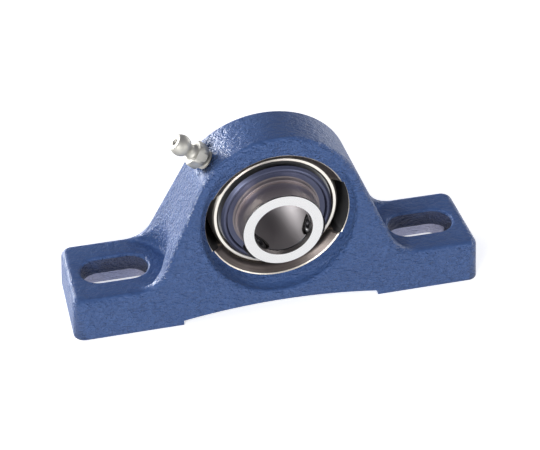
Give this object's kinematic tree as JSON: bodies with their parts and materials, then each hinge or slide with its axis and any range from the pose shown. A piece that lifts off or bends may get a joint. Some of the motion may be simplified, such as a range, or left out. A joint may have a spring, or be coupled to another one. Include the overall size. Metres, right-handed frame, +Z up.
{
  "type": "pillow block bearing",
  "caption": "Cast pillow block on slotted feet that holds a self-aligning insert ball bearing with set screws and a grease nipple.",
  "frame": {"origin": "middle of the base, on the surface that the feet stand on, straight below the shaft axis", "axes": "+X along the feet, +Y along the shaft towards the end of the inner ring without set screws, +Z up"},
  "size_m": [0.127, 0.032, 0.0572],
  "materials": {
    "cast_paint": "satin blue paint over cast iron with an orange-peel and sand-cast texture",
    "bearing_steel": "ground bearing steel",
    "ball_steel": "polished bearing balls",
    "cage_polymer": "glass-filled nylon",
    "seal_washer_steel": "pressed sheet steel",
    "seal_rubber": "moulded nitrile rubber",
    "flinger_steel": "pressed sheet steel with a blue-grey phosphated skin",
    "black_screw": "black oxide",
    "zinc_plate": "yellow-tinged zinc plating",
    "spring_steel": "bright wire"
  },
  "bodies": {
    "housing": {"housing": "cast_paint", "grease_nipple_body": "zinc_plate", "nipple_spring": "spring_steel"},
    "check_ball": {"nipple_check_ball": "ball_steel"},
    "bearing": {"outer_ring": "bearing_steel", "front_seal_washer": "seal_washer_steel", "front_seal_lip": "seal_rubber", "rear_seal_washer": "seal_washer_steel", "rear_seal_lip": "seal_rubber"},
    "rotor": {"inner_ring": "bearing_steel", "front_flinger": "flinger_steel", "rear_flinger": "flinger_steel"},
    "ball_cage": {"cage": "cage_polymer"},
    "ball_1": {"ball_1": "ball_steel"},
    "ball_2": {"ball_2": "ball_steel"},
    "ball_3": {"ball_3": "ball_steel"},
    "ball_4": {"ball_4": "ball_steel"},
    "ball_5": {"ball_5": "ball_steel"},
    "ball_6": {"ball_6": "ball_steel"},
    "ball_7": {"ball_7": "ball_steel"},
    "ball_8": {"ball_8": "ball_steel"},
    "set_screw_1": {"set_screw_1": "black_screw"},
    "set_screw_2": {"set_screw_2": "black_screw"}
  },
  "joints": [
    {"name": "self_align", "type": "hinge", "parent": "housing", "child": "bearing", "pos_m": [0, 0, 0.0302], "axis": [1, 0, 0], "range_deg": [-5, 5]},
    {"name": "inner_ring_turn", "type": "hinge", "parent": "bearing", "child": "rotor", "pos_m": [0, 0, 0.0302], "axis": [0, 1, 0], "continuous": true},
    {"name": "cage_turn", "type": "hinge", "parent": "bearing", "child": "ball_cage", "pos_m": [0, 0, 0.0302], "axis": [0, 1, 0], "continuous": true},
    {"name": "ball_1_roll", "type": "hinge", "parent": "ball_cage", "child": "ball_1", "pos_m": [0.01317, 0, 0.03565], "axis": [0, 1, 0], "continuous": true},
    {"name": "ball_2_roll", "type": "hinge", "parent": "ball_cage", "child": "ball_2", "pos_m": [0.00545, 0, 0.04337], "axis": [0, 1, 0], "continuous": true},
    {"name": "ball_3_roll", "type": "hinge", "parent": "ball_cage", "child": "ball_3", "pos_m": [-0.00545, 0, 0.04337], "axis": [0, 1, 0], "continuous": true},
    {"name": "ball_4_roll", "type": "hinge", "parent": "ball_cage", "child": "ball_4", "pos_m": [-0.01317, 0, 0.03565], "axis": [0, 1, 0], "continuous": true},
    {"name": "ball_5_roll", "type": "hinge", "parent": "ball_cage", "child": "ball_5", "pos_m": [-0.01317, 0, 0.02475], "axis": [0, 1, 0], "continuous": true},
    {"name": "ball_6_roll", "type": "hinge", "parent": "ball_cage", "child": "ball_6", "pos_m": [-0.00545, 0, 0.01703], "axis": [0, 1, 0], "continuous": true},
    {"name": "ball_7_roll", "type": "hinge", "parent": "ball_cage", "child": "ball_7", "pos_m": [0.00545, 0, 0.01703], "axis": [0, 1, 0], "continuous": true},
    {"name": "ball_8_roll", "type": "hinge", "parent": "ball_cage", "child": "ball_8", "pos_m": [0.01317, 0, 0.02475], "axis": [0, 1, 0], "continuous": true},
    {"name": "set_screw_1_travel", "type": "slide", "parent": "rotor", "child": "set_screw_1", "axis": [0.9659, 0, -0.2588], "range_m": [-0.00025, 0.003]},
    {"name": "set_screw_2_travel", "type": "slide", "parent": "rotor", "child": "set_screw_2", "axis": [-0.7071, 0, -0.7071], "range_m": [-0.00025, 0.003]},
    {"name": "nipple_valve", "type": "slide", "parent": "housing", "child": "check_ball", "axis": [0.7478, 0, -0.6639], "range_m": [0, 0.001], "stiffness_N_per_m": 300, "springref_m": -0.001, "deforming": ["nipple_spring"]}
  ],
  "couplings": [
    {"joint": "cage_turn", "follows": "inner_ring_turn", "ratio": 0.38163},
    {"joint": "ball_1_roll", "follows": "inner_ring_turn", "ratio": -1.9937},
    {"joint": "ball_2_roll", "follows": "inner_ring_turn", "ratio": -1.9937},
    {"joint": "ball_3_roll", "follows": "inner_ring_turn", "ratio": -1.9937},
    {"joint": "ball_4_roll", "follows": "inner_ring_turn", "ratio": -1.9937},
    {"joint": "ball_5_roll", "follows": "inner_ring_turn", "ratio": -1.9937},
    {"joint": "ball_6_roll", "follows": "inner_ring_turn", "ratio": -1.9937},
    {"joint": "ball_7_roll", "follows": "inner_ring_turn", "ratio": -1.9937},
    {"joint": "ball_8_roll", "follows": "inner_ring_turn", "ratio": -1.9937}
  ]
}
